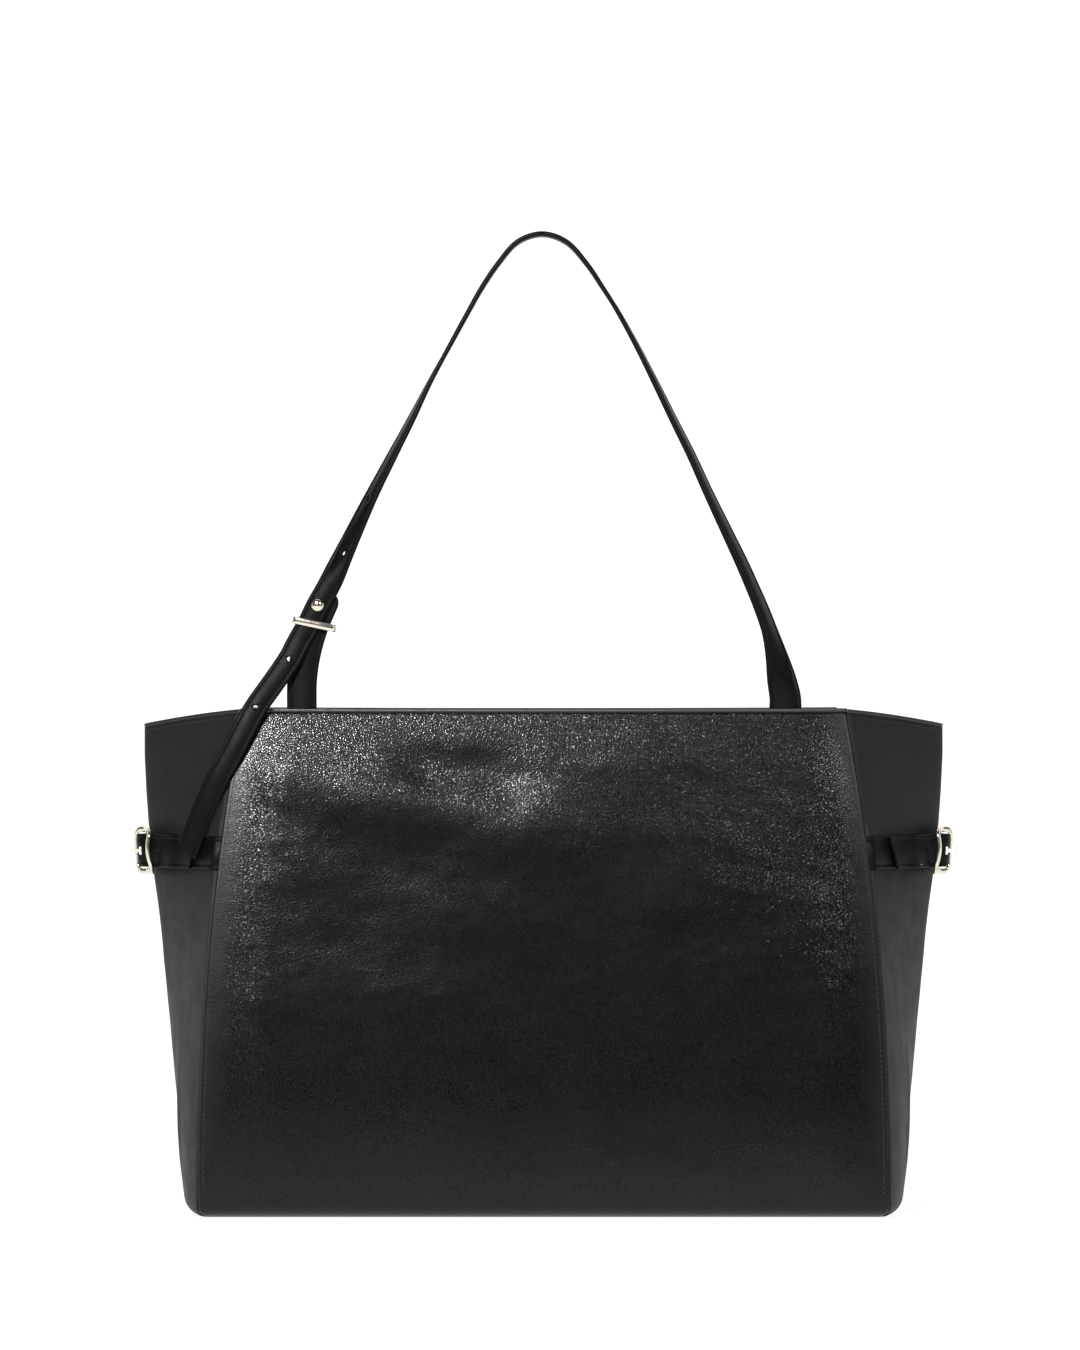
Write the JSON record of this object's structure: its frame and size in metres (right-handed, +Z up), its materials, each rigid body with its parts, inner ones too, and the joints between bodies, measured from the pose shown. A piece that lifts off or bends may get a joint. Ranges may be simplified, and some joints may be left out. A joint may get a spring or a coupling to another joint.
{
  "type": "diaper bag",
  "caption": "Soft leather tote diaper bag with folded side wings, an adjustable shoulder strap with stud and keeper ring, and buckled side belts.",
  "frame": {"origin": "middle of the underside, on the surface that the bag stands on", "axes": "+X to the right as seen from the front, +Y towards the back, +Z up; the front panel faces -Y"},
  "size_m": [0.506, 0.1598, 0.5923],
  "materials": {
    "panel_leather": "glazed, crinkled grain",
    "smooth_leather": "matte, fine grain",
    "strap_leather": "matte, edge painted and stitched",
    "edge_paint": "black edge paint",
    "lining": "cotton twill",
    "board": "fibre board",
    "zip_tape": "woven tape",
    "metal": "polished pale gold"
  },
  "bodies": {
    "bag_body": {"front_panel": "panel_leather", "back_panel": "panel_leather", "base_panel": "smooth_leather", "left_gusset": "smooth_leather", "right_gusset": "smooth_leather", "front_top_binding": "edge_paint", "back_top_binding": "edge_paint", "left_top_binding": "edge_paint", "right_top_binding": "edge_paint", "base_board": "board", "lining_front": "lining", "lining_back": "lining", "lining_left": "lining", "lining_right": "lining", "lining_base": "lining", "facing_front": "smooth_leather", "facing_back": "smooth_leather", "facing_left": "smooth_leather", "facing_right": "smooth_leather", "slip_pocket": "lining", "zip_tape": "zip_tape", "zip_teeth": "metal", "snap_socket": "metal", "snap_plug": "metal", "strap_root_right": "strap_leather", "strap_root_left": "strap_leather", "left_belt_base": "strap_leather", "right_belt_base": "strap_leather", "left_belt_tail": "strap_leather", "right_belt_tail": "strap_leather"},
    "shoulder_strap": {"shoulder_strap": "strap_leather", "strap_anchor": "strap_leather", "strap_stud": "metal", "stud_screw": "metal"},
    "strap_ring": {"strap_ring": "metal"},
    "strap_tail": {"strap_tail": "strap_leather"},
    "left_buckle": {"left_buckle_frame": "metal", "left_buckle_bar": "metal"},
    "right_buckle": {"right_buckle_frame": "metal", "right_buckle_bar": "metal"},
    "left_prong": {"left_buckle_prong": "metal"},
    "right_prong": {"right_buckle_prong": "metal"},
    "zip_slider": {"zip_slider": "metal"},
    "zip_pull": {"zip_pull": "metal"}
  },
  "joints": [
    {"name": "strap_swing", "type": "hinge", "parent": "bag_body", "child": "shoulder_strap", "pos_m": [0, -0.049, 0.306], "axis": [1, 0, 0], "range_deg": [0, 95]},
    {"name": "strap_tail_hang", "type": "hinge", "parent": "shoulder_strap", "child": "strap_tail", "pos_m": [-0.1486, -0.0519, 0.344], "axis": [1, 0, 0], "range_deg": [-95, 0]},
    {"name": "ring_slide", "type": "slide", "parent": "shoulder_strap", "child": "strap_ring", "axis": [0.4331, 0, 0.9013], "range_m": [-0.003, 0.002]},
    {"name": "left_buckle_tilt", "type": "hinge", "parent": "bag_body", "child": "left_buckle", "pos_m": [-0.2415, -0.01, 0.218], "axis": [0.0657, 0, -0.9978], "range_deg": [-2, 4]},
    {"name": "right_buckle_tilt", "type": "hinge", "parent": "bag_body", "child": "right_buckle", "pos_m": [0.2415, -0.01, 0.218], "axis": [0.0657, 0, 0.9978], "range_deg": [-2, 4]},
    {"name": "left_prong_swing", "type": "hinge", "parent": "left_buckle", "child": "left_prong", "pos_m": [-0.2415, -0.01, 0.218], "axis": [-0.0657, 0, 0.9978], "range_deg": [0, 60]},
    {"name": "right_prong_swing", "type": "hinge", "parent": "right_buckle", "child": "right_prong", "pos_m": [0.2415, -0.01, 0.218], "axis": [-0.0657, 0, -0.9978], "range_deg": [0, 60]},
    {"name": "zip_slide", "type": "slide", "parent": "bag_body", "child": "zip_slider", "axis": [1, 0, 0], "range_m": [-0.155, 0]},
    {"name": "zip_pull_swing", "type": "hinge", "parent": "zip_slider", "child": "zip_pull", "pos_m": [0.078, -0.05638, 0.23562], "axis": [1, 0, 0], "range_deg": [-6, 120]}
  ],
  "couplings": [
    {"joint": "strap_tail_hang", "follows": "strap_swing", "ratio": -1}
  ]
}
